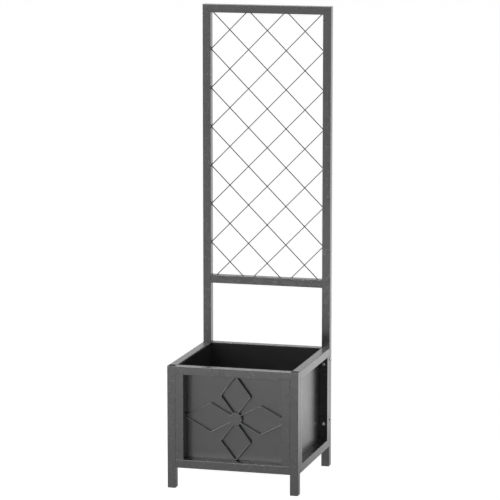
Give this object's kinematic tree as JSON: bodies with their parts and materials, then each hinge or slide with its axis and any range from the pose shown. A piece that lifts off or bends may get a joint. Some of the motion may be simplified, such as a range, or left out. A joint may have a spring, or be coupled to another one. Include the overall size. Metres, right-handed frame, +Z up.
{
  "type": "planter with trellis",
  "caption": "Square steel planter box on four legs with a tall wire trellis at its rear and a flower of flat bar on its front, for climbing plants.",
  "frame": {"origin": "on the ground, at the middle of the footprint under the legs", "axes": "+Z up; the front with the flower faces -Y, the trellis stands at +Y, +X is the right-hand side as seen from the front"},
  "size_m": [0.4104, 0.41, 1.422],
  "materials": {
    "frame": "semi-gloss anthracite powder coat on square tube",
    "sheet": "semi-gloss anthracite powder coat on sheet steel",
    "ornament": "semi-gloss anthracite powder coat on flat bar",
    "net": "smooth black coat on welded wire",
    "plug": "moulded black plastic, fine satin",
    "bolt": "bright zinc-plated steel"
  },
  "bodies": {
    "root": {"floor_angle_left": "sheet", "floor_angle_right": "sheet", "floor_pan": "sheet", "flower_disc": "ornament", "foot_front_left": "plug", "foot_front_right": "plug", "foot_rear_left": "plug", "foot_rear_right": "plug", "front_leg_left": "frame", "front_leg_right": "frame", "front_panel": "sheet", "front_rail_bottom": "frame", "front_rail_top": "frame", "front_stile_left": "frame", "front_stile_right": "frame", "left_bolt_front_lower": "bolt", "left_bolt_front_upper": "bolt", "left_bolt_rear_lower": "bolt", "left_bolt_rear_upper": "bolt", "left_panel": "sheet", "left_rail_bottom": "frame", "left_rail_top": "frame", "left_stile_front": "frame", "left_stile_rear": "frame", "leg_cap_left": "plug", "leg_cap_right": "plug", "petal_bottom": "ornament", "petal_left_lower": "ornament", "petal_left_upper": "ornament", "petal_right_lower": "ornament", "petal_right_upper": "ornament", "petal_top": "ornament", "rear_bolt_left_lower": "bolt", "rear_bolt_left_upper": "bolt", "rear_bolt_right_lower": "bolt", "rear_bolt_right_upper": "bolt", "rear_panel": "sheet", "rear_rail_bottom": "frame", "rear_rail_top": "frame", "rear_stile_left": "frame", "rear_stile_right": "frame", "rear_upright_left": "frame", "rear_upright_right": "frame", "right_bolt_front_lower": "bolt", "right_bolt_front_upper": "bolt", "right_bolt_rear_lower": "bolt", "right_bolt_rear_upper": "bolt", "right_panel": "sheet", "right_rail_bottom": "frame", "right_rail_top": "frame", "right_stile_front": "frame", "right_stile_rear": "frame", "trellis_net": "net", "trellis_rail_bottom": "frame", "trellis_rail_top": "frame"}
  },
  "joints": []
}
